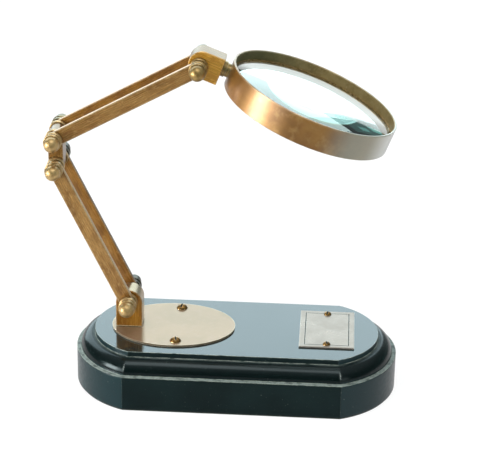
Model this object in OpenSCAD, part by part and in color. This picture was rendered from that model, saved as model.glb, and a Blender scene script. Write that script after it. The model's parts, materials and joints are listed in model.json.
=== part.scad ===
// Desk magnifier: a lens on a jointed brass arm that stands on a black wooden plinth.
// Millimetres. The origin is the centre of the plinth's underside, +X runs along the plinth
// towards the lens, +Y away from the front, +Z up.

/* [Plinth] */
// Length of the plinth over its two bowed ends
plinth_l = 203; // [185:1:240]
// Width of the plinth
plinth_w = 101.6; // [92:0.2:120]
// How far each end bows out past its corners
end_bow = 34; // [28:1:40]
// Height of the upright side, felt included
slab_h = 23.1; // [20:0.1:30]
// Width of the flat ledge round the foot of the moulding
ledge_w = 2.5; // [1.5:0.1:4]
// Radius of the quarter-round moulding
moulding_r = 8.5; // [6:0.1:10]
// Width of the narrow flat above the quarter-round
fillet_w = 0.7; // [0.3:0.1:1.5]
// Height of the small step under the top face
step_h = 3.6; // [2:0.1:6]
// Thickness of the felt under the plinth
felt_t = 1.2; // [0.8:0.1:3]
// How far the felt stays inside the plinth's edge
felt_inset = 1; // [0.5:0.1:3]

/* [Oval plate] */
// Length of the oval plate
oval_l = 78; // [70:1:84]
// Width of the oval plate
oval_w = 61; // [56:1:64]
// Thickness of the oval plate
oval_t = 1.2; // [0.8:0.1:2]
// Place of the oval plate's centre along the plinth
oval_x = -40; // [-44:0.5:-36]
// Spacing of its two screws across the plinth
plate_screw_gap = 48; // [44:0.5:50]
// How far its screws stand from the plate's centre, towards the lens
plate_screw_x = 3.2; // [0:0.1:6]
// Head diameter of the plate screws
plate_head_d = 7.3; // [6:0.1:8]
// Shank diameter of the plate screws
plate_shank_d = 3.5; // [3:0.1:4]
// Length of the plate screws under the head
plate_screw_l = 14; // [10:1:18]

/* [Nameplate] */
// Length of the nameplate across the plinth
name_l = 52.3; // [48:0.1:56]
// Width of the nameplate along the plinth
name_w = 34.5; // [30:0.1:38]
// Thickness of the nameplate
name_t = 1; // [0.8:0.1:1.6]
// Place of the nameplate's centre along the plinth
name_x = 57.4; // [54:0.1:60]
// Place of the nameplate's centre across the plinth
name_y = 1.8; // [-2:0.1:3]
// Width of the bevel round the nameplate
name_bevel = 0.8; // [0.4:0.1:1.4]
// How far the engraved border stays inside the nameplate's edge
border_inset = 3.2; // [2.5:0.1:4]
// Width of the engraved border line
border_w = 0.6; // [0.3:0.1:1]
// Depth of the engraved border line
border_d = 0.2; // [0.1:0.05:0.4]
// Spacing of the nameplate's two screws
name_screw_gap = 43.4; // [40:0.1:44]
// Head diameter of the nameplate screws
name_head_d = 5; // [4:0.1:5.5]
// Shank diameter of the nameplate screws
name_shank_d = 2.2; // [1.6:0.1:2.6]
// Length of the nameplate screws under the head
name_screw_l = 9; // [6:1:12]

/* [Blocks] */
// Thickness of the blocks and the elbow link, along the pins
block_t = 13; // [11:0.5:16]
// Width of the pivot block
block_w = 16.6; // [15:0.1:19]
// Height of the head block
head_w = 17; // [15:0.1:19]
// Place of the base pin along the plinth
base_pin_x = -67.8; // [-69:0.1:-64]
// Height of the base pin above the oval plate
base_pin_h = 18; // [15:0.1:24]
// How far the base pin stands above the centre of the block's round top
base_pin_off = 1.3; // [0:0.1:2]
// How far the head pin stands below the head block's centreline
head_pin_off = 1.4; // [0:0.1:2.2]
// How far the head pin stands behind the centre of the block's round end
head_pin_back = 1.4; // [0:0.1:2]
// Distance from the head pin to the head block's square end
head_reach = 13.4; // [12.5:0.1:18]
// Width of the broken edges of blocks and bars
edge_break = 0.4; // [0.2:0.05:0.8]
// Diameter of the screw that holds the pivot block
block_screw_d = 5; // [4:0.5:6]
// How far that screw goes into the pivot block
block_screw_grip = 9; // [7:0.5:10]
// Head diameter of that screw
block_head_d = 9; // [8:0.5:10]
// Head height of that screw
block_head_h = 3.4; // [2.5:0.1:4.5]
// Diameter of the washer under its head
block_washer_d = 13; // [12:0.5:16]
// Thickness of the washer under its head
block_washer_t = 1; // [0.6:0.1:1.6]
// Depth of the counterbore for its head
counterbore_h = 8; // [7:0.5:12]

/* [Arm] */
// Distance between the two pins of each bar
arm_l = 100; // [90:0.5:112]
// Distance between the two pins of the elbow link
link_l = 18.3; // [16:0.1:24]
// Width of the bars and the elbow link
bar_w = 9.2; // [8.5:0.1:11]
// Thickness of the bars
bar_t = 3; // [2:0.1:4]
// Lean of the lower arm from upright, away from the lens
lower_lean = 26.2; // [20:0.1:32]
// Lean of the elbow link from upright, away from the lens
link_lean = 1.1; // [-5:0.1:8]
// Rise of the upper arm above level
upper_rise = 28.7; // [22:0.1:36]

/* [Pivots] */
// Diameter of the pivot screws
pin_d = 5; // [4:0.1:6]
// Diameter of all washers and of the knobs' flanges
washer_d = 11; // [10:0.1:13]
// Thickness of the washers between block and bar
spacer_t = 2.8; // [1.6:0.1:4]
// Thickness of the washers outside the bars
collar_t = 2.6; // [1.6:0.1:4]
// Diameter of the neck under each knob
neck_d = 7.6; // [6.8:0.1:9]
// Length of the neck under each knob
neck_l = 1.7; // [1:0.1:3]
// Thickness of the knobs' flanges
flange_t = 1.8; // [1:0.1:3]
// Diameter of the knobs' domes
dome_d = 9.2; // [8.4:0.1:10]
// Length of the straight side under the screws' domes
screw_side = 3.2; // [2:0.1:5]
// Length of the straight side under the nuts' domes
nut_side = 5; // [3:0.1:7]
// Height of each dome
dome_h = 3.8; // [2.5:0.1:4.2]
// How far each pivot screw goes into its nut
thread_l = 7; // [5:0.1:8]

/* [Lens] */
// Diameter of the glass
lens_d = 102.6; // [90:0.1:112]
// Thickness of the glass at its edge
lens_edge_t = 2.6; // [2:0.1:4]
// How far each face bulges
lens_bulge = 4.8; // [3:0.1:5]
// Depth of the glass's edge below the ring's upper rim
lens_depth = 7; // [6.5:0.1:9.5]
// Wall of the lens ring
ring_wall = 1.5; // [1.2:0.1:3]
// Height of the lens ring
ring_h = 16.4; // [15:0.1:20]
// How far the seat stands in under the glass
seat_w = 2; // [1.2:0.1:3]
// Thickness of the seat
seat_t = 1.2; // [0.8:0.1:2]
// Section of the split ring that holds the glass
retainer_t = 0.8; // [0.6:0.1:1.6]
// Gap between the split ring's ends
retainer_gap = 5; // [3:0.5:10]
// Slope of the lens and its stem below level
lens_slope = 21.2; // [12:0.1:30]

/* [Lens stem] */
// How far the stem's axis stands above the head block's centreline
stem_rise = 1.1; // [0:0.1:1.2]
// Length of the stem between head block and ring
stem_gap = 4.6; // [3:0.1:8]
// Diameter of the stem's collar, against the head block
stem_collar_d = 9.8; // [8:0.1:11]
// Length of the stem's collar
stem_collar_l = 2.3; // [1:0.1:2.5]
// Diameter of the stem's neck, against the ring
stem_neck_d = 8.6; // [7:0.1:9.5]
// Diameter of the stub that turns in the head block
stub_d = 6; // [5:0.1:7]
// Length of the stub
stub_l = 7; // [5:0.1:8]
// Diameter of the stud in the ring's wall
stud_d = 4; // [3:0.1:5]

/* [Fits] */
// Radial clearance of pins, screws and stub in their holes
run_gap = 0.05; // [0.02:0.01:0.1]
// Radial clearance of the block screw in plinth and plate
pass_gap = 0.4; // [0.2:0.05:0.8]
// Radial clearance of the glass in its ring
lens_gap = 0.2; // [0.1:0.05:0.4]
// Gap between the glass and what holds it in the ring
glass_gap = 0.05; // [0.02:0.01:0.15]
// Gap left beyond the end of a screw in a blind hole
end_gap = 0.5; // [0.2:0.1:1]

/* [Hidden] */
$fn = 96;

// Plan of the plinth: each end is an arc through the corners and the bow
end_r = (pow(plinth_w / 2, 2) + pow(end_bow, 2)) / (2 * end_bow);
end_x = plinth_l / 2 - end_r;
top_inset = ledge_w + moulding_r + fillet_w;
moulding_z = slab_h + moulding_r;
top_z = moulding_z + step_h;
plate_z = top_z + oval_t;

// Stack of pieces along each pin, from the middle outwards
bar_y = block_t / 2 + spacer_t;
bar_out_y = bar_y + bar_t;
collar_out_y = bar_out_y + collar_t;
flange_y = neck_l + flange_t;
dome_r = (pow(dome_d / 2, 2) + pow(dome_h, 2)) / (2 * dome_h);
pin_hole_d = pin_d + 2 * run_gap;

// The four pins, each worked out from the one before it
base_pin = [base_pin_x, 0, plate_z + base_pin_h];
low_pin = base_pin + arm_l * [-sin(lower_lean), 0, cos(lower_lean)];
high_pin = low_pin + link_l * [-sin(link_lean), 0, cos(link_lean)];
head_pin = high_pin + arm_l * [cos(upper_rise), 0, sin(upper_rise)];

// Lens ring, in the head's own frame: x along the stem, z square to the lens
ring_in_r = lens_d / 2 + lens_gap;
ring_r = ring_in_r + ring_wall;
stem_z = head_pin_off + stem_rise;
ring_x = head_reach + stem_gap + ring_r;
glass_top = ring_h / 2 - lens_depth;
glass_low = glass_top - lens_edge_t;
glass_r = (pow(lens_d / 2, 2) + pow(lens_bulge, 2)) / (2 * lens_bulge);
seat_z = glass_low - face_rise(ring_in_r - seat_w) - glass_gap;
retainer_z = glass_top + face_rise(ring_in_r - retainer_t - run_gap) + glass_gap;

// Slots in screw heads
slot_w = 1;
slot_depth = 0.4;
head_dome = 0.36;
point_share = 0.35;
plate_slot_turn = 78;

// Sides of the polygon that draws the oval plate's ellipse
oval_steps = 120;

// Colours, and how far a cut goes beyond a face
BLACK = "#16201f";
BRASS = "#a9803f";
PALE_BRASS = "#cdb887";
POLISHED = "#d8c48c";
cut = 0.01;

// How far a face of the glass has risen from its edge, at a radius
function face_rise(r) = sqrt(pow(glass_r, 2) - pow(r, 2)) - sqrt(pow(glass_r, 2) - pow(lens_d / 2, 2));

// Plan of the plinth, drawn in by an inset
module plinth_plan(inset) {
    square([2 * end_x, plinth_w - 2 * inset], center = true);
    for (side = [-1, 1]) {
        intersection() {
            translate([side * end_x, 0])
                circle(end_r - inset);
            square([plinth_l, plinth_w - 2 * inset], center = true);
        }
    }
}

// Section of the plinth from its middle out to a half width
module edge_section(half) {
    translate([0, felt_t])
        square([half, slab_h - felt_t]);
    translate([0, slab_h])
        square([half - ledge_w - moulding_r, moulding_r]);
    translate([0, slab_h])
        square([half - top_inset, moulding_r + step_h]);
    intersection() {
        translate([half - ledge_w - moulding_r, slab_h])
            circle(moulding_r);
        translate([half - ledge_w - moulding_r, slab_h])
            square(moulding_r);
    }
}

// The straight moulded sides, as one long bar
module moulded_bar(length) {
    rotate([90, 0, 90])
        linear_extrude(length, center = true) {
            edge_section(plinth_w / 2);
            mirror([1, 0])
                edge_section(plinth_w / 2);
        }
}

module plinth_body() {
    moulded_bar(2 * end_x);
    for (side = [-1, 1]) {
        intersection() {
            translate([side * end_x, 0, 0])
                rotate_extrude()
                    edge_section(end_r);
            moulded_bar(plinth_l + 2 * cut);
        }
    }
}

// Upright holes for screws, open at the top
module screw_hole(x, y, top, diameter, depth) {
    translate([x, y, top - depth])
        cylinder(d = diameter, h = depth + cut);
}

module plinth() {
    color(BLACK)
        difference() {
            plinth_body();
            translate([base_pin_x, 0, 0])
                cylinder(d = block_screw_d + 2 * pass_gap, h = top_z + cut);
            translate([base_pin_x, 0, 0])
                cylinder(d = block_washer_d + 2 * pass_gap, h = felt_t + counterbore_h);
            for (side = [-1, 1]) {
                screw_hole(oval_x + plate_screw_x, side * plate_screw_gap / 2, top_z,
                    plate_shank_d + 2 * run_gap, plate_screw_l - oval_t + end_gap);
                screw_hole(name_x, name_y + side * name_screw_gap / 2, top_z,
                    name_shank_d + 2 * run_gap, name_screw_l - name_t + end_gap);
            }
        }
}

module felt_pad() {
    color("#20302b")
        linear_extrude(felt_t)
            plinth_plan(felt_inset);
}

// Plan of the oval plate, an ellipse
module oval_plan() {
    polygon([for (i = [0 : oval_steps - 1])
        [oval_l / 2 * cos(360 * i / oval_steps), oval_w / 2 * sin(360 * i / oval_steps)]]);
}

module oval_plate() {
    color(POLISHED)
        difference() {
            translate([oval_x, 0, top_z])
                linear_extrude(oval_t)
                    oval_plan();
            screw_hole(base_pin_x, 0, plate_z, block_screw_d + 2 * pass_gap, 2 * oval_t);
            for (side = [-1, 1])
                screw_hole(oval_x + plate_screw_x, side * plate_screw_gap / 2, plate_z,
                    plate_shank_d + 2 * run_gap, 2 * oval_t);
        }
}

// Slotted round-head wood screw, its head standing on z = 0
module wood_screw(head_d, shank_d, length, turn) {
    head_h = head_dome * head_d;
    head_r = (pow(head_d / 2, 2) + pow(head_h, 2)) / (2 * head_h);
    point_l = point_share * length;
    difference() {
        union() {
            intersection() {
                translate([0, 0, head_h - head_r])
                    sphere(head_r);
                cylinder(d = head_d + 1, h = head_h + 1);
            }
            translate([0, 0, -length + point_l])
                cylinder(d = shank_d, h = length - point_l + cut);
            translate([0, 0, -length])
                cylinder(d1 = 0.2 * shank_d, d2 = shank_d, h = point_l);
        }
        rotate([0, 0, turn])
            translate([-head_d, -slot_w / 2, head_h * (1 - slot_depth)])
                cube([2 * head_d, slot_w, head_h]);
    }
}

module plate_screws() {
    color(BRASS)
        for (side = [-1, 1])
            translate([oval_x + plate_screw_x, side * plate_screw_gap / 2, plate_z])
                wood_screw(plate_head_d, plate_shank_d, plate_screw_l, side * plate_slot_turn);
}

// Rectangle with its corners cut off
module cut_rect(w, h, c) {
    polygon([
        [-w / 2 + c, -h / 2], [w / 2 - c, -h / 2], [w / 2, -h / 2 + c], [w / 2, h / 2 - c],
        [w / 2 - c, h / 2], [-w / 2 + c, h / 2], [-w / 2, h / 2 - c], [-w / 2, -h / 2 + c]
    ]);
}

// Disc with broken edges, its axis along Y
module broken_disc(d, t) {
    rotate([90, 0, 0])
        rotate_extrude()
            intersection() {
                cut_rect(d, t, edge_break);
                translate([0, -t])
                    square([d, 2 * t]);
            }
}

// Flat bar from the origin along +X, with round ends and a pin hole in each
module eye_bar(length, w, t) {
    difference() {
        union() {
            rotate([90, 0, 90])
                linear_extrude(length)
                    cut_rect(t, w, edge_break);
            for (x = [0, length])
                translate([x, 0, 0])
                    broken_disc(w, t);
        }
        for (x = [0, length])
            pin_hole([x, 0, 0], 2 * t);
    }
}

// Hole along Y for a pivot screw
module pin_hole(place, length) {
    translate(place)
        rotate([90, 0, 0])
            cylinder(d = pin_hole_d, h = length, center = true);
}

// Block along +X: round end centred on the origin, square end at the given reach
module round_block(reach, w) {
    broken_disc(w, block_t);
    intersection() {
        rotate([90, 0, 90])
            linear_extrude(reach)
                cut_rect(block_t, w, edge_break);
        rotate([90, 0, 0])
            linear_extrude(block_t, center = true)
                cut_rect(2 * reach, w + 2 * edge_break, edge_break * 2);
        linear_extrude(w, center = true)
            cut_rect(2 * reach, block_t + 2 * edge_break, edge_break * 2);
    }
}

module pivot_block() {
    color(BRASS)
        difference() {
            translate([base_pin_x, 0, plate_z + base_pin_h - base_pin_off])
                rotate([0, 90, 0])
                    round_block(base_pin_h - base_pin_off, block_w);
            pin_hole(base_pin, 2 * block_t);
            translate([base_pin_x, 0, plate_z - cut])
                cylinder(d = block_screw_d + 2 * run_gap, h = block_screw_grip + end_gap + cut);
        }
}

module block_screw() {
    head_top = felt_t + counterbore_h - block_washer_t;
    color(PALE_BRASS)
        difference() {
            union() {
                translate([base_pin_x, 0, head_top - block_head_h])
                    cylinder(d = block_head_d, h = block_head_h);
                translate([base_pin_x, 0, head_top - cut])
                    cylinder(d = block_screw_d, h = plate_z + block_screw_grip - head_top + cut);
            }
            translate([base_pin_x - block_head_d, -slot_w / 2, head_top - block_head_h - cut])
                cube([2 * block_head_d, slot_w, slot_depth * block_head_h + cut]);
        }
}

module block_screw_washer() {
    color(PALE_BRASS)
        translate([base_pin_x, 0, felt_t + counterbore_h - block_washer_t])
            difference() {
                cylinder(d = block_washer_d, h = block_washer_t);
                translate([0, 0, -cut])
                    cylinder(d = block_screw_d + 2 * pass_gap, h = block_washer_t + 2 * cut);
            }
}

// Upright trapezium: full width at the foot, drawn in by the bevel at the top
module bevel_section(w) {
    polygon([
        [-w / 2, 0], [w / 2, 0], [w / 2, name_t - border_d], [w / 2 - name_bevel, name_t],
        [-w / 2 + name_bevel, name_t], [-w / 2, name_t - border_d]
    ]);
}

module nameplate() {
    color("#c9c9bd")
        translate([name_x, name_y, top_z])
            difference() {
                intersection() {
                    rotate([90, 0, 0])
                        linear_extrude(name_l, center = true)
                            bevel_section(name_w);
                    rotate([90, 0, 90])
                        linear_extrude(name_w, center = true)
                            bevel_section(name_l);
                }
                translate([0, 0, name_t - border_d])
                    linear_extrude(name_t)
                        border_line(border_inset);
                for (side = [-1, 1])
                    translate([0, side * name_screw_gap / 2, -cut])
                        cylinder(d = name_shank_d + 2 * run_gap, h = name_t + 2 * cut);
            }
}

// One engraved rectangle, at an inset from the nameplate's edge
module border_line(inset) {
    difference() {
        square([name_w - 2 * inset, name_l - 2 * inset], center = true);
        square([name_w - 2 * (inset + border_w), name_l - 2 * (inset + border_w)], center = true);
    }
}

module nameplate_screws() {
    color("#6d5a37")
        for (side = [-1, 1])
            translate([name_x, name_y + side * name_screw_gap / 2, top_z + name_t])
                wood_screw(name_head_d, name_shank_d, name_screw_l, side * plate_slot_turn);
}

// Places for the arms: the bar module's +X runs from the arm's first pin to its second
module along_lower() {
    translate(base_pin)
        rotate([0, -90 - lower_lean, 0])
            children();
}

module along_upper() {
    translate(high_pin)
        rotate([0, -upper_rise, 0])
            children();
}

module bar_at(side) {
    translate([0, side * (bar_y + bar_t / 2), 0])
        eye_bar(arm_l, bar_w, bar_t);
}

module lower_bar_front() {
    color(BRASS)
        along_lower()
            bar_at(-1);
}

module lower_bar_rear() {
    color(BRASS)
        along_lower()
            bar_at(1);
}

module elbow_link() {
    color(BRASS)
        translate(low_pin)
            rotate([0, -90 - link_lean, 0])
                eye_bar(link_l, bar_w, block_t);
}

module upper_bar_front() {
    color(BRASS)
        along_upper()
            bar_at(-1);
}

module upper_bar_rear() {
    color(BRASS)
        along_upper()
            bar_at(1);
}

// The head's frame: x along the stem, z square to the lens, origin on the head pin
module at_head() {
    translate(head_pin)
        rotate([0, lens_slope, 0])
            children();
}

module head_block() {
    color(BRASS)
        at_head()
            difference() {
                translate([head_pin_back, 0, head_pin_off])
                    round_block(head_reach - head_pin_back, head_w);
                pin_hole([0, 0, 0], 2 * block_t);
                translate([head_reach - stub_l - end_gap, 0, stem_z])
                    rotate([0, 90, 0])
                        cylinder(d = stub_d + 2 * run_gap, h = stub_l + end_gap + cut);
            }
}

// Turned knob on the Z axis: neck, flange, straight side and dome, standing on z = 0
module knob(side_l) {
    rotate_extrude() {
        square([neck_d / 2, neck_l + cut]);
        translate([0, neck_l])
            intersection() {
                translate([0, flange_t / 2])
                    cut_rect(washer_d, flange_t, edge_break);
                square([washer_d, flange_t]);
            }
        translate([0, flange_y - cut])
            square([dome_d / 2, side_l + cut]);
        intersection() {
            translate([0, flange_y + side_l + dome_h - dome_r])
                circle(dome_r);
            translate([0, flange_y + side_l - cut])
                square([dome_d / 2, dome_h + 1]);
        }
    }
}

// Pivot screw along Y: its knob at the front, its end inside the nut at the back
module pivot_screw(pin) {
    color(PALE_BRASS)
        translate(pin) {
            translate([0, -collar_out_y, 0])
                rotate([90, 0, 0])
                    knob(screw_side);
            translate([0, collar_out_y + thread_l, 0])
                rotate([90, 0, 0])
                    cylinder(d = pin_d, h = 2 * collar_out_y + thread_l + cut);
        }
}

// Domed nut on the back end of a pivot screw
module clamp_nut(pin) {
    color(PALE_BRASS)
        translate(pin + [0, collar_out_y, 0])
            rotate([-90, 0, 0])
                difference() {
                    knob(nut_side);
                    translate([0, 0, -cut])
                        cylinder(d = pin_hole_d, h = thread_l + end_gap + cut);
                }
}

// Pair of washers on a pin, one each side, from a distance out from the middle
module washer_pair(pin, from_y, t) {
    color(PALE_BRASS)
        for (side = [-1, 1])
            translate(pin + [0, side * (from_y + t / 2), 0])
                difference() {
                    broken_disc(washer_d, t);
                    pin_hole([0, 0, 0], 2 * t);
                }
}

module spacers(pin) {
    washer_pair(pin, block_t / 2, spacer_t);
}

module collars(pin) {
    washer_pair(pin, bar_out_y, collar_t);
}

// The lens ring's frame: origin at its middle, z its axis
module at_ring() {
    at_head()
        translate([ring_x, 0, stem_z])
            children();
}

module lens_ring() {
    color(BRASS)
        at_ring()
            difference() {
                rotate_extrude($fn = 180) {
                    translate([ring_in_r + ring_wall / 2, 0])
                        cut_rect(ring_wall, ring_h, edge_break);
                    translate([ring_in_r - seat_w, seat_z - seat_t])
                        square([seat_w + ring_wall / 2, seat_t]);
                }
                translate([-ring_r - 1, 0, 0])
                    rotate([0, 90, 0])
                        cylinder(d = stud_d + 2 * run_gap, h = ring_wall + 1 + 1);
            }
}

module lens() {
    color([0.8, 0.95, 0.95, 0.4])
        at_ring()
            intersection() {
                translate([0, 0, glass_top + lens_bulge - glass_r])
                    sphere(glass_r, $fn = 360);
                translate([0, 0, glass_low - lens_bulge + glass_r])
                    sphere(glass_r, $fn = 360);
                cylinder(d = lens_d, h = 4 * ring_h, center = true, $fn = 180);
            }
}

module lens_retainer() {
    color(BRASS)
        at_ring()
            difference() {
                rotate_extrude($fn = 180)
                    translate([ring_in_r - retainer_t - run_gap, retainer_z])
                        square([retainer_t, retainer_t]);
                translate([0, -retainer_gap / 2, 0])
                    cube([ring_r, retainer_gap, ring_h]);
            }
}

module lens_stem() {
    color(PALE_BRASS)
        at_head()
            translate([0, 0, stem_z]) {
                round_bar(head_reach - stub_l, stub_d, stub_l + stem_collar_l / 2);
                round_bar(head_reach + run_gap, stem_collar_d, stem_collar_l - run_gap);
                difference() {
                    round_bar(head_reach + stem_collar_l / 2, stem_neck_d, stem_gap);
                    translate([ring_x, 0, 0])
                        cylinder(r = ring_r + cut, h = 2 * stem_collar_d, center = true, $fn = 180);
                }
                round_bar(head_reach + stem_gap / 2, stud_d, stem_gap / 2 + ring_wall - run_gap);
            }
}

// Round bar along +X from a given place
module round_bar(start, diameter, length) {
    translate([start, 0, 0])
        rotate([0, 90, 0])
            cylinder(d = diameter, h = length);
}

plinth();
felt_pad();
oval_plate();
plate_screws();
pivot_block();
block_screw();
block_screw_washer();
nameplate();
nameplate_screws();
lower_bar_front();
lower_bar_rear();
elbow_link();
upper_bar_front();
upper_bar_rear();
head_block();
pivot_screw(base_pin);  // base_pivot_screw
pivot_screw(low_pin);  // lower_elbow_screw
pivot_screw(high_pin);  // upper_elbow_screw
pivot_screw(head_pin);  // head_pivot_screw
clamp_nut(base_pin);  // base_clamp_nut
clamp_nut(low_pin);  // lower_elbow_nut
clamp_nut(high_pin);  // upper_elbow_nut
clamp_nut(head_pin);  // head_clamp_nut
spacers(base_pin);  // base_spacers
spacers(low_pin);  // lower_elbow_spacers
spacers(high_pin);  // upper_elbow_spacers
spacers(head_pin);  // head_spacers
collars(base_pin);  // base_collars
collars(low_pin);  // lower_elbow_collars
collars(high_pin);  // upper_elbow_collars
collars(head_pin);  // head_collars
lens_ring();
lens();
lens_retainer();
lens_stem();
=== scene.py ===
"""Looks of the desk magnifier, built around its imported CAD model."""

import json
import math

import bpy
from mathutils import Matrix, Vector

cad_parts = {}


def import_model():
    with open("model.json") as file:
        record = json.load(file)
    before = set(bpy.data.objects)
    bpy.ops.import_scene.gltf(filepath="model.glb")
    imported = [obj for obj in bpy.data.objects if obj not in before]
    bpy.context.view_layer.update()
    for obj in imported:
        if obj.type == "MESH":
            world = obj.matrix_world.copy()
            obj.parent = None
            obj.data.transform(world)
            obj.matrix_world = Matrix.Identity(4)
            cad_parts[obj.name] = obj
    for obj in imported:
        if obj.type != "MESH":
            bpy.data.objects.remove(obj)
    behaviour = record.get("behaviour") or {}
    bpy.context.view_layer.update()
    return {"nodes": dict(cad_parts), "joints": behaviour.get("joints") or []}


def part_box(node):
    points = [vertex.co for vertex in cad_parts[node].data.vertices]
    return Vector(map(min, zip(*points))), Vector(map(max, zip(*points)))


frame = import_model()
NAME_BOX = [Vector(corner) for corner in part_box("nameplate")]
NODES = frame["nodes"]
JOINTS = {joint["name"]: joint for joint in frame["joints"]}

MM = 0.001

# Heights on the base: the ledge, the moulding's waist, its fillet, the top, the plate and the screws' slots
LEDGE_Z = 23.1 * MM
WAIST_LOW = (25.6 * MM, 27.2 * MM)
WAIST_HIGH = (28.8 * MM, 30.6 * MM)
FILLET_Z = 31.6 * MM
TOP_Z = 35.2 * MM
PLATE_TOP_Z = 36.4 * MM
PLATE_SLOT_Z = 37.98 * MM
NAME_SLOT_Z = 37.28 * MM

# Half the ring's height, a radius inside its wall, half a bar's width and the width of the nameplate's bevel
RING_HALF = 8.2 * MM
RING_WALL_R = 52.1 * MM
BAR_HALF = 4.6 * MM
NAME_BEVEL = 0.8 * MM

# How far along the stem's axis, from the twist joint, the stem's brass is laid out and the ring is centred
STEM_REACH = 12.3 * MM
RING_REACH = 71.0 * MM

# Places that the materials are laid out from, in metres in the CAD frame
BASE_PIN = JOINTS["base_pivot"]["pos_m"]
LOWER_ELBOW = JOINTS["elbow_lower_pivot"]["pos_m"]
UPPER_ELBOW = JOINTS["elbow_upper_pivot"]["pos_m"]
HEAD_PIN = JOINTS["head_pivot"]["pos_m"]
TWIST_PLACE = Vector(JOINTS["lens_twist"]["pos_m"])
STEM_AXIS = Vector(JOINTS["lens_twist"]["axis"])
STEM_PLACE = TWIST_PLACE + STEM_REACH * STEM_AXIS
RING_CENTRE = TWIST_PLACE + RING_REACH * STEM_AXIS
RING_TILT = math.atan2(-STEM_AXIS.z, STEM_AXIS.x)
RING_AXIS = Vector((math.sin(RING_TILT), 0.0, math.cos(RING_TILT)))
PLATE_CENTRE = (-40.0 * MM, 0.0, PLATE_TOP_Z)
NAME_CENTRE = (57.4 * MM, 1.8 * MM, 36.1 * MM)

# How far a face may lie from the height that it is looked for at
SLACK = 0.05 * MM


# Node helpers
class Tree:
    """The nodes of one material or world, made one call at a time."""

    def __init__(self, owner, output):
        owner.use_nodes = True
        self.nodes = owner.node_tree.nodes
        self.links = owner.node_tree.links
        self.nodes.clear()
        self.out = self.nodes.new(output)

    def put(self, socket, value):
        """Links an output to the socket, or sets the socket to a plain value."""
        if isinstance(value, bpy.types.NodeSocket):
            self.links.new(value, socket)
        else:
            socket.default_value = value

    def add(self, kind, inputs=None, **settings):
        """A new shader node with its inputs and settings filled in."""
        node = self.nodes.new("ShaderNode" + kind)
        for key, value in settings.items():
            setattr(node, key, value)
        for key, value in (inputs or {}).items():
            self.put(node.inputs[key], value)
        return node

    def math(self, operation, a, b=0.0, clamp=False):
        return self.add("Math", {0: a, 1: b}, operation=operation, use_clamp=clamp).outputs[0]

    def times(self, a, b):
        return self.math("MULTIPLY", a, b)

    def larger(self, a, b):
        return self.math("MAXIMUM", a, b)

    def size(self, value):
        """value without its sign."""
        return self.math("ABSOLUTE", value)

    def length(self, a, b):
        return self.math("SQRT", self.math("ADD", self.times(a, a), self.times(b, b)))

    def span(self, value, low, high, out_low=0.0, out_high=1.0):
        """value from low to high, as out_low to out_high, eased at both ends."""
        ends = {"Value": value, "From Min": low, "From Max": high, "To Min": out_low, "To Max": out_high}
        return self.add("MapRange", ends, interpolation_type="SMOOTHSTEP").outputs["Result"]

    def mix(self, share, a, b):
        """Colour a where share is 0, b where it is 1."""
        return self.add("Mix", {0: share, 6: a, 7: b}, data_type="RGBA").outputs[2]

    def blend(self, share, a, b):
        """Number a where share is 0, b where it is 1."""
        return self.add("Mix", {0: share, 2: a, 3: b}, data_type="FLOAT").outputs[0]

    def local(self, origin=(0, 0, 0), turn=0.0):
        """The object's own coordinates, measured from origin and turned about Y."""
        coord = self.add("TexCoord").outputs["Object"]
        ends = {"Vector": coord, "Location": origin, "Rotation": (0, turn, 0)}
        return self.add("Mapping", ends, vector_type="TEXTURE").outputs[0]

    def parts(self, vector):
        """The vector's x, y and z."""
        return self.add("SeparateXYZ", {0: vector}).outputs

    def stretch(self, vector, scale):
        return self.add("VectorMath", {0: vector, 1: scale}, operation="MULTIPLY").outputs[0]

    def noise(self, vector, scale, detail=3.0, rough=0.55):
        ends = {"Vector": vector, "Scale": scale, "Detail": detail, "Roughness": rough}
        return self.add("TexNoise", ends).outputs["Fac"]

    def facing(self):
        """The surface's normal, in world axes."""
        return self.add("NewGeometry").outputs["Normal"]

    def rounded(self, radius):
        """The normal of the same surface with its edges rounded off."""
        return self.add("Bevel", {"Radius": radius}, samples=6).outputs[0]

    def edges(self, radius, low=0.985, high=0.90):
        """1 on the solid's edges, out to about radius, and 0 elsewhere."""
        ends = {0: self.rounded(radius), 1: self.facing()}
        return self.span(self.add("VectorMath", ends, operation="DOT_PRODUCT").outputs["Value"], low, high)

    def crevices(self, reach):
        """1 deep in corners and gaps, 0 in the open."""
        open_share = self.add("AmbientOcclusion", {"Distance": reach}, samples=8).outputs["AO"]
        return self.span(open_share, 0.80, 0.30)

    def bump(self, height, depth, strength=1.0, on=None):
        """The normal of the surface, or of the normal on, raised by height."""
        ends = {"Height": height, "Distance": depth, "Strength": strength}
        if on:
            ends["Normal"] = on
        return self.add("Bump", ends).outputs[0]

    def surface(self, shader):
        self.links.new(shader, self.out.inputs["Surface"])

    def principled(self, ends):
        """Covers the surface with one Principled shader."""
        self.surface(self.add("BsdfPrincipled", ends).outputs[0])


def material(name):
    """A new material and the tree of its nodes."""
    made = bpy.data.materials.new(name)
    return made, Tree(made, "ShaderNodeOutputMaterial")


def rgb(r, g, b):
    return (r, g, b, 1.0)


# Lacquer and felt
WORN_PAINT = rgb(0.36, 0.41, 0.35)
DUSTY_PAINT = rgb(0.205, 0.245, 0.225)
# Pale colour of the painted highlight at the plinth's mitres
MITRE_HIGHLIGHT = rgb(0.50, 0.56, 0.53)


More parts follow.
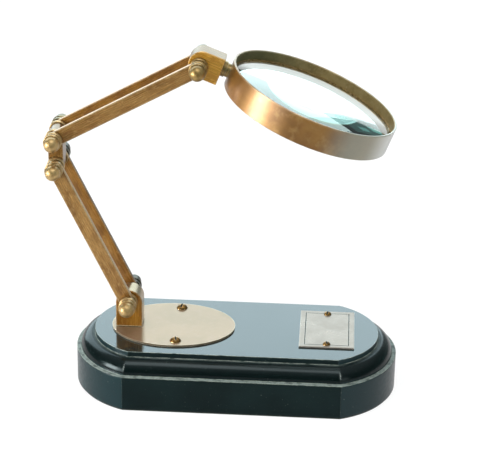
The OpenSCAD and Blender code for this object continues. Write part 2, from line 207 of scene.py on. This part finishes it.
def lacquer_top():
    """The plinth's polished top: deep black under a thick clear coat, with hairline scratches."""
    made, t = material("lacquer_top")
    at = t.local()
    cloud = t.noise(at, 22.0, 4.0)
    fine = t.noise(at, 420.0, 3.0)
    hairs = t.noise(t.stretch(at, (180.0, 2600.0, 900.0)), 1.0, 2.0)
    base = t.mix(t.span(cloud, 0.3, 0.7), rgb(0.004, 0.011, 0.012), rgb(0.008, 0.019, 0.020))
    speck = t.span(t.noise(at, 1200.0, 1.0), 0.72, 0.80, 0.0, 0.5)
    base = t.mix(speck, base, rgb(0.20, 0.23, 0.22))
    worn = t.times(t.edges(0.5 * MM), t.span(fine, 0.35, 0.60))
    base = t.mix(worn, base, WORN_PAINT)
    height = t.math("ADD", t.times(cloud, 0.6), t.times(hairs, 0.02))
    t.principled({
        "Base Color": base, "Roughness": t.span(fine, 0.25, 0.75, 0.08, 0.20),
        "IOR": 1.5, "Specular IOR Level": 0.35, "Specular Tint": rgb(0.62, 0.90, 1.0),
        "Coat Weight": t.span(cloud, 0.2, 0.8, 1.0, 0.9), "Coat Roughness": 0.05, "Coat IOR": 1.6,
        "Normal": t.bump(height, 0.10 * MM, 0.35),
    })
    return made


def worn_line(t, at, z, half, cover):
    """A pale line of rubbed paint round the plinth at a height, ragged in width."""
    away = t.size(t.math("SUBTRACT", t.parts(at)[2], z))
    ragged = t.span(t.noise(at, 260.0, 4.0, 0.6), 0.30, 0.70, -0.3 * half, half)
    line = t.span(t.math("SUBTRACT", away, ragged), 0.12 * MM, -0.10 * MM)
    return t.times(line, t.span(t.noise(at, 90.0, 4.0, 0.6), 0.28, 0.50, cover, 1.0))


def lacquer_side():
    """The plinth's sides and mouldings: green-black, glossier at the bowed ends, worn pale along edges, with
    painted sheen on the bowed ends, painted shade on the moulding's curve and painted highlights at its
    mitres.
    """
    made, t = material("lacquer_side")
    at = t.local()
    z = t.parts(at)[2]
    normal = t.parts(t.facing())
    lean = t.size(normal[2])
    round_part = t.times(t.span(lean, 0.04, 0.20), t.span(lean, 0.999, 0.96))
    bowed = t.span(t.size(normal[0]), 0.15, 0.45)
    cloud = t.noise(at, 30.0, 4.0)
    fine = t.noise(at, 420.0, 3.0)
    base = t.mix(t.span(cloud, 0.3, 0.7), rgb(0.002, 0.005, 0.005), rgb(0.004, 0.010, 0.010))
    # Painted sheen: the bowed ends tinted a bluer green
    base = t.mix(bowed, base, rgb(0.002, 0.015, 0.018))
    # Painted shade: the moulding's curve darker than the flat sides
    base = t.mix(round_part, base, rgb(0.001, 0.003, 0.003))
    dust = t.times(t.span(fine, 0.55, 0.85, 0.0, 0.25), t.span(cloud, 0.45, 0.7))
    base = t.mix(dust, base, rgb(0.030, 0.045, 0.042))
    speck = t.span(t.noise(at, 900.0, 1.0), 0.73, 0.80, 0.0, 0.35)
    base = t.mix(speck, base, rgb(0.14, 0.17, 0.15))
    fillet = t.times(worn_line(t, at, FILLET_Z, 0.06 * MM, 0.10), 0.30)
    lines = t.larger(worn_line(t, at, LEDGE_Z, 0.18 * MM, 0.25), fillet)
    base = t.mix(lines, base, DUSTY_PAINT)
    chips = t.span(t.noise(at, 230.0, 4.0), 0.32, 0.58, 0.15, 1.0)
    chipped = t.times(t.edges(1.0 * MM, 0.99, 0.86), chips)
    chipped = t.times(chipped, t.span(z, 1.5 * MM, 3.5 * MM))
    base = t.mix(chipped, base, WORN_PAINT)
    # Painted highlight on the moulding's mitres at its waist, where the rounded corner catches light
    waist = t.times(t.span(z, *WAIST_LOW), t.span(z, *reversed(WAIST_HIGH)))
    mitre_highlight = t.times(t.edges(2.0 * MM, 0.998, 0.966), t.times(waist, chips))
    base = t.mix(mitre_highlight, base, MITRE_HIGHLIGHT)
    rough = t.blend(round_part, t.span(fine, 0.25, 0.75, 0.34, 0.46), t.span(fine, 0.25, 0.75, 0.14, 0.24))
    rough = t.blend(t.larger(chipped, lines), rough, 0.6)
    height = t.math("ADD", cloud, t.times(fine, 0.12))
    t.principled({
        "Base Color": base, "Roughness": rough,
        "IOR": 1.5, "Specular IOR Level": 0.15, "Specular Tint": rgb(0.55, 0.95, 1.0),
        "Coat Weight": t.blend(round_part, t.blend(bowed, 0.10, 0.58), 0.42),
        "Coat Roughness": 0.15, "Coat IOR": 1.5, "Coat Normal": t.rounded(2.2 * MM),
        "Normal": t.bump(height, 0.12 * MM, 0.4, t.rounded(1.5 * MM)),
    })
    return made


def felt():
    """Dark green felt, with short fibres and a few darker patches."""
    made, t = material("dark_felt")
    at = t.local()
    fibre = t.noise(t.stretch(at, (1.0, 1.0, 0.6)), 2600.0, 4.0, 0.7)
    cloud = t.noise(at, 160.0)
    base = t.mix(t.span(fibre, 0.35, 0.65), rgb(0.010, 0.020, 0.014), rgb(0.040, 0.062, 0.046))
    base = t.mix(t.span(cloud, 0.4, 0.7, 0.0, 0.5), base, rgb(0.020, 0.034, 0.026))
    t.principled({
        "Base Color": base, "Roughness": t.span(fibre, 0.2, 0.8, 0.85, 1.0),
        "Sheen Weight": 0.25, "Sheen Roughness": 0.5, "Normal": t.bump(fibre, 0.15 * MM, 0.8),
    })
    return made


# Metals and glass

# Tones of each brass: dark, middle and light
BRONZE = (rgb(0.21, 0.10, 0.022), rgb(0.35, 0.185, 0.048), rgb(0.52, 0.31, 0.105))
COPPERY = (rgb(0.26, 0.105, 0.012), rgb(0.41, 0.185, 0.024), rgb(0.57, 0.30, 0.060))
# Tones of the rear bars: the same brass painted darker as shade
REAR_SHADED = (rgb(0.18, 0.075, 0.014), rgb(0.33, 0.16, 0.034), rgb(0.50, 0.27, 0.080))
HEAD = (rgb(0.42, 0.20, 0.025), rgb(0.66, 0.35, 0.050), rgb(0.80, 0.50, 0.13))
RING = (rgb(0.19, 0.085, 0.018), rgb(0.36, 0.180, 0.042), rgb(0.52, 0.31, 0.11))
INSIDE = (rgb(0.22, 0.145, 0.045), rgb(0.33, 0.23, 0.085), rgb(0.46, 0.33, 0.15))
AMBER = (rgb(0.19, 0.080, 0.014), rgb(0.39, 0.210, 0.060), rgb(0.66, 0.43, 0.17))
GOLD = (rgb(0.39, 0.245, 0.085), rgb(0.59, 0.390, 0.160), rgb(0.78, 0.59, 0.33))
DULL_GOLD = (rgb(0.27, 0.165, 0.045), rgb(0.42, 0.270, 0.088), rgb(0.60, 0.44, 0.20))
STEM = (rgb(0.22, 0.14, 0.045), rgb(0.42, 0.28, 0.10), rgb(0.58, 0.42, 0.19))
# Darker tones for the rear nuts and collars
DIM_BROWN = (rgb(0.13, 0.10, 0.045), rgb(0.26, 0.20, 0.085), rgb(0.42, 0.33, 0.16))
NEAR_BLACK = (rgb(0.035, 0.032, 0.022), rgb(0.075, 0.065, 0.042), rgb(0.16, 0.13, 0.08))
PALE = (rgb(0.33, 0.250, 0.160), rgb(0.39, 0.278, 0.182), rgb(0.46, 0.32, 0.25))
SILVERY = (rgb(0.25, 0.195, 0.155), rgb(0.345, 0.275, 0.225), rgb(0.42, 0.35, 0.30))

# Colours of rubbed edges, the plate's also a painted highlight on its rim, and painted highlights and shade
# on the narrow sides of blocks and bars
RUBBED = rgb(0.80, 0.68, 0.46)
PLATE_WEAR_AND_HIGHLIGHT = rgb(0.95, 0.85, 0.62)
RUBBED_NAME = rgb(0.55, 0.53, 0.48)
RUBBED_SMALL = rgb(0.5, 0.42, 0.28)
RUBBED_NUT = rgb(0.3, 0.26, 0.18)
NARROW_SIDE_SHADE = rgb(0.28, 0.19, 0.12)
BLOCK_SIDE_HIGHLIGHT = rgb(0.46, 0.36, 0.24)
UPPER_SIDE_HIGHLIGHT = rgb(0.60, 0.34, 0.18)
LOWER_SIDE_HIGHLIGHT = rgb(0.50, 0.37, 0.21)
LOWER_REAR_SIDE_SHADE = rgb(0.12, 0.070, 0.030)

# Tones of dirt and wax, and of dirt with painted shade in screw slots: dark and light
OLD_WAX = (rgb(0.055, 0.055, 0.045), rgb(0.16, 0.155, 0.13))
SLOT_DIRT_AND_SHADE = (rgb(0.006, 0.005, 0.004), rgb(0.030, 0.024, 0.016))


def brass(
    name, tones, origin=(0, 0, 0), turn=0.0, grain=(60.0, 2600.0, 2600.0), blotch=110.0, streak=1.0,
    mottle=1.0, drawn=0.16, depth=0.008, rough=(0.20, 0.34), metallic=0.75, coat=0.5, coat_rough=0.12,
    shape=None, rim=None, grime_and_shade=0.75, worn=None, edge_zone=None,
):
    """Brass with a mottled patina, brushed along local X, rubbed on its edges, and darkened in its corners
    by dirt and painted shade.

    The mottling has scale blotch, strength mottle and a stretch of streak along X. The brushing has scale
    grain and strength drawn. depth is how deep both are, in mm. shape recolours the whole, rim paints
    highlights and shade on the narrow sides, grime_and_shade darkens the corners with dirt and painted
    shade, and worn the edges, which edge_zone may keep to a part of the piece.
    """
    made, t = material(name)
    dark, mid, light = tones
    at = t.local(origin, turn)
    pulled = t.stretch(at, (streak, 1.0, 1.0))
    cloud = t.noise(pulled, blotch, 4.0, 0.6)
    fine = t.noise(pulled, blotch * 5.0, 3.0, 0.6)
    lines = t.noise(t.stretch(at, grain), 1.0, 2.0, 0.6)
    base = t.mix(t.span(cloud, 0.34, 0.62, 1.0 - mottle, 1.0), dark, mid)
    base = t.mix(t.span(fine, 0.48, 0.74, 0.0, 0.55 * mottle), base, light)
    base = t.mix(t.span(lines, 0.35, 0.70, 0.0, drawn), base, dark)
    if shape:
        base = shape(t, at, base)
    # Painted highlights and shade on the narrow sides: paler or darker than the faces, by which way they
    # point
    if rim:
        narrow = t.span(t.size(t.parts(t.facing())[1]), 0.75, 0.45)
        base = t.mix(t.times(narrow, t.span(fine, 0.25, 0.60, 0.86, 1.0)), base, rim)
        metallic = t.blend(narrow, metallic, 0.95)
    # Dirt and painted shade in corners and gaps
    if grime_and_shade:
        base = t.mix(t.times(t.crevices(2.0 * MM), grime_and_shade), base, rgb(*(0.22 * c for c in dark[:3])))
    if worn:
        rubbed = t.times(t.edges(0.45 * MM), t.span(fine, 0.30, 0.55, 0.35, 1.0))
        if edge_zone:
            rubbed = t.times(rubbed, edge_zone(t, at))
        base = t.mix(rubbed, base, worn)
    roughness = t.span(lines, 0.25, 0.75, *rough)
    roughness = t.math("ADD", roughness, t.span(cloud, 0.3, 0.7, 0.05, -0.03), clamp=True)
    height = t.math("ADD", t.times(lines, 0.7), t.times(fine, 0.3 * mottle))
    t.principled({
        "Base Color": base, "Metallic": metallic, "Roughness": roughness,
        "Coat Weight": coat, "Coat Roughness": coat_rough, "Coat IOR": 1.5,
        "Normal": t.bump(height, depth * MM, 0.6),
    })
    return made


def turned(name, tones, centre, worn, turn=0.0, across=(0, 2), rough=(0.22, 0.34), metallic=0.85):
    """Lathe-turned brass: fine rings round the axis through centre, square to both local axes in across."""
    made, t = material(name)
    dark, mid, light = tones
    at = t.local(centre, turn)
    axes = t.parts(at)
    lengthwise = ({0, 1, 2} - set(across)).pop()
    radius = t.length(axes[across[0]], axes[across[1]])
    profile = t.add("CombineXYZ", {0: radius, 1: axes[lengthwise], 2: 0.0}).outputs[0]
    rings = t.noise(profile, 2200.0, 2.0, 0.6)
    cloud = t.noise(at, 240.0, 4.0, 0.6)
    base = t.mix(t.span(cloud, 0.36, 0.60), dark, mid)
    base = t.mix(t.span(rings, 0.45, 0.75, 0.0, 0.4), base, light)
    # Dirt and painted shade in corners, gaps and slots
    base = t.mix(t.times(t.crevices(1.6 * MM), 0.9), base, rgb(*(0.16 * c for c in dark[:3])))
    base = t.mix(t.times(t.edges(0.3 * MM), t.span(cloud, 0.3, 0.5, 0.3, 0.9)), base, worn)
    height = t.math("ADD", rings, t.times(cloud, 0.3))
    t.principled({
        "Base Color": base, "Metallic": metallic, "Roughness": t.span(rings, 0.25, 0.75, *rough),
        "Coat Weight": 0.3, "Coat Roughness": 0.15, "Coat IOR": 1.5,
        "Normal": t.bump(height, 0.012 * MM, 0.5),
    })
    return made


def glass():
    """Clear glass that goes sea-green where the light crosses much of it."""
    made, t = material("lens_glass")
    smear = t.noise(t.local(RING_CENTRE, RING_TILT), 60.0, 3.0)
    t.principled({
        "Base Color": t.mix(smear, rgb(0.985, 1.0, 0.998), rgb(0.965, 0.995, 0.990)),
        "Roughness": t.span(smear, 0.3, 0.8, 0.0, 0.015), "IOR": 1.52, "Transmission Weight": 1.0,
    })
    volume = t.add("VolumeAbsorption", {"Color": rgb(0.20, 0.86, 0.82), "Density": 13.0})
    t.links.new(volume.outputs[0], t.out.inputs["Volume"])
    return made


def steel():
    """Plain grey steel, for the hidden screw and its washer."""
    made, t = material("plain_steel")
    at = t.local()
    cloud = t.noise(at, 300.0, 4.0)
    t.principled({
        "Base Color": t.mix(t.span(cloud, 0.35, 0.65), rgb(0.34, 0.34, 0.34), rgb(0.52, 0.52, 0.51)),
        "Metallic": 1.0, "Roughness": t.span(cloud, 0.3, 0.7, 0.28, 0.45),
        "Normal": t.bump(t.noise(at, 1800.0), 0.02 * MM, 0.4),
    })
    return made


def filling(name, tones):
    """Old dirt and wax in an engraved line, or dirt and painted shade in a screw's slot."""
    made, t = material(name)
    at = t.local()
    t.principled({
        "Base Color": t.mix(t.span(t.noise(at, 700.0), 0.35, 0.65), *tones),
        "Roughness": t.span(t.noise(at, 1500.0), 0.3, 0.7, 0.6, 0.8), "Specular IOR Level": 0.2,
    })
    return made


def bar_edges(t, at, base):
    """A bar's long edges, rubbed paler than its middle."""
    across = t.size(t.parts(at)[2])
    return t.mix(t.span(across, BAR_HALF - 1.0 * MM, BAR_HALF, 0.0, 0.45), base, rgb(0.70, 0.54, 0.30))


def block_foot_highlight(t, at, base):
    """A painted highlight along the block's foot, where it is bedded on the plate."""
    foot = t.span(t.parts(t.local())[2], PLATE_TOP_Z + 0.9 * MM, PLATE_TOP_Z + 0.5 * MM)
    return t.mix(foot, base, rgb(0.95, 0.80, 0.52))


def ring_outside(t, at, base):
    """The ring's outside, browner at the arm's end, then greyer and pale at the far end as painted
    reflections.
    """
    x = t.parts(at)[0]
    base = t.mix(t.span(x, -22.0 * MM, -46.0 * MM, 0.0, 0.5), base, rgb(0.23, 0.105, 0.024))
    # Painted reflections: greyer past the middle and pale at the far end
    base = t.mix(t.span(x, 6.0 * MM, 28.0 * MM, 0.0, 0.85), base, rgb(0.335, 0.330, 0.262))
    return t.mix(t.span(x, 36.0 * MM, 52.0 * MM, 0.0, 0.8), base, rgb(0.74, 0.74, 0.70))


def ring_inside(t, at, base):
    """The ring's inside, dark olive towards the arm's end."""
    return t.mix(t.span(t.parts(at)[0], 10.0 * MM, -40.0 * MM, 0.0, 0.85), base, rgb(0.085, 0.088, 0.032))


def ring_rims(t, at):
    """1 by the ring's two rims, 0 between them."""
    return t.span(t.size(t.parts(at)[2]), RING_HALF - 1.2 * MM, RING_HALF - 0.5 * MM)


# Materials on the nodes
def give(made, *names):
    """Puts a material on the named CAD nodes."""
    for name in names:
        NODES[name].data.materials.clear()
        NODES[name].data.materials.append(made)


def give_faces(made, name, chosen):
    """Adds a second material to a node and lays it on the faces that chosen picks."""
    mesh = NODES[name].data
    mesh.materials.append(made)
    for face in mesh.polygons:
        face.material_index = int(chosen(face))


def along(start, end):
    """The turn about Y that lays local X on the line from start to end."""
    return -math.atan2(end[2] - start[2], end[0] - start[0])


def on_top(face):
    """Whether a face of the plinth is its flat top."""
    return face.normal.z > 0.97 and face.center.z > TOP_Z - SLACK


def in_groove(face):
    """Whether a face of the nameplate is in its engraved line: inside the bevel and below the top."""
    low, high = NAME_BOX
    inside = all(low[i] + NAME_BEVEL < face.center[i] < high[i] - NAME_BEVEL for i in (0, 1))
    return inside and low.z + SLACK < face.center.z < high.z - SLACK


def in_slot(face, slot_z):
    """Whether a face of a screw is the floor or a wall of the slot whose floor is at slot_z."""
    floor_face = face.normal.z > 0.999 and face.center.z < slot_z + SLACK
    wall_face = abs(face.normal.z) < 0.01
    return face.center.z > slot_z - SLACK and (floor_face or wall_face)


def in_bore(face):
    """Whether a face of the lens ring is in its bore: within the wall and turned to the axis."""
    from_centre = face.center - RING_CENTRE
    from_axis = from_centre - from_centre.dot(RING_AXIS) * RING_AXIS
    return from_axis.length < RING_WALL_R and face.normal.dot(from_axis) < 0.0


# Plinth, felt and the screw beneath
give(lacquer_side(), "plinth")
give_faces(lacquer_top(), "plinth", on_top)
give(felt(), "felt_pad")
give(steel(), "block_screw", "block_screw_washer")

# Oval plate and nameplate, with their screws
# The oval plate's edges: rubbed pale, and a painted highlight along the rim
give(
    brass(
        "polished_plate", PALE, PLATE_CENTRE, grain=(90.0, 1500.0, 1500.0), blotch=45.0, mottle=0.6,
        depth=0.01, rough=(0.08, 0.18), metallic=0.6, coat=0.1, worn=PLATE_WEAR_AND_HIGHLIGHT,
    ),
    "oval_plate",
)
give(
    brass(
        "dull_silvery_plate", SILVERY, NAME_CENTRE, grain=(70.0, 1900.0, 1900.0), blotch=60.0, mottle=0.4,
        drawn=0.07, depth=0.003, rough=(0.26, 0.34), metallic=0.85, coat=0.3, worn=RUBBED_NAME,
    ),
    "nameplate",
)
give_faces(filling("engraved_line", OLD_WAX), "nameplate", in_groove)
give(turned("plate_screw_brass", BRONZE, PLATE_CENTRE, RUBBED, across=(0, 1)), "plate_screws")
give(turned("small_screw_brass", BRONZE, NAME_CENTRE, RUBBED_SMALL, across=(0, 1)), "nameplate_screws")
# Screw slots: near-black dirt and painted shade
for screws, slot_z in (("plate_screws", PLATE_SLOT_Z), ("nameplate_screws", NAME_SLOT_Z)):
    give_faces(filling(screws + "_slot", SLOT_DIRT_AND_SHADE), screws, lambda face: in_slot(face, slot_z))

# Pivot block, elbow link and head block
give(
    brass(
        "block_brass", COPPERY, BASE_PIN, math.pi / 2, streak=0.35, metallic=0.45, coat=0.1,
        shape=block_foot_highlight, rim=BLOCK_SIDE_HIGHLIGHT, worn=RUBBED,
    ),
    "pivot_block",
)
give(
    brass("link_brass", BRONZE, LOWER_ELBOW, math.pi / 2, metallic=0.5, coat=0.3, rim=NARROW_SIDE_SHADE, worn=RUBBED),
    "elbow_link",
)
give(
    brass(
        "head_brass", HEAD, HEAD_PIN, RING_TILT, streak=0.5, metallic=0.4, coat=0.1, rim=NARROW_SIDE_SHADE,
        worn=RUBBED,
    ),
    "head_block",
)

# Lens with its ring and stem
give(
    brass(
        "ring_brass", RING, RING_CENTRE, RING_TILT, grain=(30.0, 30.0, 260.0), blotch=34.0, mottle=0.85,
        drawn=0.12, depth=0.0, rough=(0.33, 0.40), metallic=0.63, coat=0.9, coat_rough=0.22,
        shape=ring_outside, worn=RUBBED, edge_zone=ring_rims,
    ),
    "lens_ring",
)
give_faces(
    brass(
        "ring_inner_brass", INSIDE, RING_CENTRE, RING_TILT, grain=(40.0, 40.0, 2400.0), blotch=140.0,
        rough=(0.35, 0.5), metallic=0.3, coat=0.1, shape=ring_inside, grime_and_shade=0.0, worn=RUBBED,
        edge_zone=ring_rims,
    ),
    "lens_ring",
    in_bore,
)
give(brass("retainer_brass", GOLD, RING_CENTRE, RING_TILT, grime_and_shade=0.0), "lens_retainer")
give(turned("stem_brass", STEM, STEM_PLACE, RUBBED, RING_TILT, across=(1, 2)), "lens_stem")
give(glass(), "lens")

# Bars, amber in front, and behind a darker, browner copy painted as shade
for arm, start, end, front_rim, rear_rim in (
    ("lower", BASE_PIN, LOWER_ELBOW, LOWER_SIDE_HIGHLIGHT, LOWER_REAR_SIDE_SHADE),
    ("upper", UPPER_ELBOW, HEAD_PIN, UPPER_SIDE_HIGHLIGHT, UPPER_SIDE_HIGHLIGHT),
):
    turn = along(start, end)
    give(
        brass(
            f"{arm}_front_brass", AMBER, start, turn, blotch=150.0, streak=0.42, mottle=0.9, metallic=0.55,
            coat=0.3, shape=bar_edges, rim=front_rim, worn=RUBBED,
        ),
        f"{arm}_bar_front",
    )
    give(
        brass(
            f"{arm}_rear_brass", REAR_SHADED, start, turn, blotch=150.0, streak=0.42, mottle=0.9, metallic=0.4,
            coat=0.2, rim=rear_rim, worn=RUBBED,
        ),
        f"{arm}_bar_rear",
    )

# Pins: a bright screw and washers in front, a darker nut and collar behind
for pin, centre, screw, nut, front_tones, back_tones in (
    ("base", BASE_PIN, "pivot_screw", "clamp_nut", GOLD, NEAR_BLACK),
    ("lower_elbow", LOWER_ELBOW, "screw", "nut", GOLD, NEAR_BLACK),
    ("upper_elbow", UPPER_ELBOW, "screw", "nut", GOLD, DIM_BROWN),
    ("head", HEAD_PIN, "pivot_screw", "clamp_nut", DULL_GOLD, DIM_BROWN),
):
    front = turned(f"{pin}_knob_brass", front_tones, centre, RUBBED, rough=(0.34, 0.44), metallic=0.8)
    back = turned(f"{pin}_nut_brass", back_tones, centre, RUBBED_NUT)
    give(front, f"{pin}_{screw}", f"{pin}_spacers", f"{pin}_collars")
    give(back, f"{pin}_{nut}")
    if pin != "head":
        give_faces(back, f"{pin}_collars", lambda face: face.center.y > 0.0)


# World and floor
def world():
    """Dark all round in reflections, paler behind and above, and plain white to look at."""
    made = bpy.data.worlds.new("studio")
    bpy.context.scene.world = made
    t = Tree(made, "ShaderNodeOutputWorld")
    path = t.add("LightPath").outputs
    toward = t.parts(t.add("TexCoord").outputs["Generated"])
    behind = t.times(t.span(toward[1], 0.60, 1.0), 0.3)
    above = t.times(t.span(toward[2], 0.35, 0.95), 0.5)
    glossy = t.mix(t.larger(behind, above), rgb(0.10, 0.155, 0.15), rgb(0.80, 0.86, 0.88))
    plain = t.mix(path["Is Glossy Ray"], rgb(0.64, 0.66, 0.67), glossy)
    colour = t.mix(path["Is Camera Ray"], plain, rgb(1.0, 1.0, 1.0))
    colour = t.mix(path["Is Transmission Ray"], colour, rgb(1.2, 1.2, 1.2))
    t.surface(t.add("Background", {"Color": colour, "Strength": 1.0}).outputs[0])


def floor():
    """A white floor with a faint shadow. Reflections show it dim far in front, and glass shows it bright."""
    bpy.ops.mesh.primitive_plane_add(size=9.0, location=(0, 0, 0))
    ground = bpy.context.object
    ground.name = "floor"
    made, t = material("white_floor")
    path = t.add("LightPath").outputs
    at = t.local()
    x, y = t.parts(at)[:2]
    paint = t.mix(t.noise(at, 90.0), rgb(0.80, 0.82, 0.82), rgb(0.82, 0.84, 0.84))
    matte = t.add("BsdfDiffuse", {"Color": paint, "Roughness": 0.6}).outputs[0]
    far_front = t.times(t.span(t.length(x, y), 0.18, 0.55), t.span(y, 0.10, -0.15))
    mirrored = t.times(path["Is Glossy Ray"], t.span(far_front, 0.0, 1.0, 0.62, 0.18))
    shade = t.larger(mirrored, t.math("SUBTRACT", 1.0, path["Is Glossy Ray"]))
    through = t.blend(path["Is Transmission Ray"], 1.08, t.span(y, 0.46, 0.34, 1.25, 1.9))
    glow = t.add("Emission", {"Color": rgb(1.0, 1.0, 1.0), "Strength": t.times(shade, through)}).outputs[0]
    bright = t.larger(path["Is Glossy Ray"], path["Is Transmission Ray"])
    share = t.larger(t.times(path["Is Camera Ray"], 0.82), t.times(bright, 0.95))
    t.surface(t.add("MixShader", {0: share, 1: matte, 2: glow}).outputs[0])
    ground.data.materials.append(made)
    return ground


# Lamps, in metres
COOL = (0.75, 0.93, 1.0)
GREENISH = (0.76, 1.0, 0.97)
TEAL = (0.30, 1.0, 0.88)


def group(name, items):
    """A collection of the objects that a lamp may be kept to."""
    made = bpy.data.collections.new(name)
    for item in items:
        made.objects.link(item)
    return made


def softbox(name, place, size, radiance, colour=(1.0, 1.0, 1.0), aim=(0.0, 0.0, 0.1), only=None):
    """A soft rectangular lamp, as bright all over as radiance says, kept to a group if only is given."""
    data = bpy.data.lights.new(name, "AREA")
    data.shape = "RECTANGLE"
    data.size, data.size_y = size
    data.energy = radiance * math.pi * size[0] * size[1]
    data.color = colour
    lamp = bpy.data.objects.new(name, data)
    bpy.context.scene.collection.objects.link(lamp)
    lamp.location = place
    lamp.rotation_euler = (Vector(aim) - Vector(place)).to_track_quat("-Z", "Y").to_euler()
    lamp.visible_camera = False
    lamp.visible_transmission = False
    if only:
        lamp.light_linking.receiver_collection = only


def lamps(ground):
    """A wide lamp behind, a set there for the glass alone, one lamp above, and windows left and right.

    The renderer ends rays that bounce many times inside the glass, so its own lamps put their light back.
    """
    glass_only = group("glass_only", [NODES["lens"]])
    others = [item for name, item in NODES.items() if name != "lens"]
    all_but_glass = group("all_but_glass", others + [ground])
    softbox("back_light", (-0.42, 1.7, 0.90), (2.35, 1.6), 2.0, COOL, only=all_but_glass)
    for name, place, size, radiance, colour in (
        ("glass_light", (0.14, 1.7, 0.72), (1.04, 1.30), 2.0, COOL),
        ("glass_high_light", (0.21, 1.68, 1.14), (1.18, 0.44), 3.8, GREENISH),
        ("glass_low_light", (0.11, 1.68, 0.66), (0.98, 0.52), 3.8, GREENISH),
        ("glass_end_light", (0.705, 1.7, 0.605), (0.16, 0.48), 0.30, TEAL),
        ("glass_end_streak", (0.70, 1.69, 0.56), (0.045, 0.10), 1.1, TEAL),
        ("glass_end_glint", (0.73, 1.69, 0.70), (0.035, 0.08), 0.9, TEAL),
    ):
        softbox(name, place, size, radiance, colour, (place[0], 0.0, place[2]), glass_only)
    softbox("top_light", (0.0, -0.25, 1.5), (0.9, 0.8), 2.4)
    softbox("window_light", (-1.35, -0.54, 0.29), (0.5, 0.5), 13.0)
    softbox("window_spill", (-1.00, -1.05, 0.30), (0.7, 0.5), 3.0)
    softbox("right_spill", (1.00, -1.05, 0.30), (0.6, 0.5), 0.9)


# The photograph's view: how far the camera is round, down and rolled, what it looks at, from where and how
VIEW_TURN = math.radians(3.02)
VIEW_DOWN = math.radians(22.9)
VIEW_ROLL = math.radians(0.99)
VIEW_TARGET = Vector((0.0020, 0.0, 0.1063))
VIEW_DISTANCE = 1.150
LENS_MM = 138.19
SENSOR_MM = 36.0


def camera():
    """A camera with a long lens at the photograph's view."""
    level = math.cos(VIEW_DOWN)
    ahead = Vector((-math.sin(VIEW_TURN) * level, math.cos(VIEW_TURN) * level, -math.sin(VIEW_DOWN)))
    right = Vector((math.cos(VIEW_TURN), math.sin(VIEW_TURN), 0.0))
    up = right.cross(ahead)
    right, up = (
        math.cos(VIEW_ROLL) * right + math.sin(VIEW_ROLL) * up,
        -math.sin(VIEW_ROLL) * right + math.cos(VIEW_ROLL) * up,
    )
    data = bpy.data.cameras.new("camera")
    data.sensor_fit = "HORIZONTAL"
    data.sensor_width = SENSOR_MM
    data.lens = LENS_MM
    data.clip_start, data.clip_end = 0.05, 50.0
    made = bpy.data.objects.new("camera", data)
    bpy.context.scene.collection.objects.link(made)
    axes = Matrix((right, up, -ahead)).transposed().to_4x4()
    made.matrix_world = Matrix.Translation(VIEW_TARGET - VIEW_DISTANCE * ahead) @ axes
    bpy.context.scene.camera = made


world()
lamps(floor())
camera()
bpy.context.scene.view_settings.view_transform = "Standard"
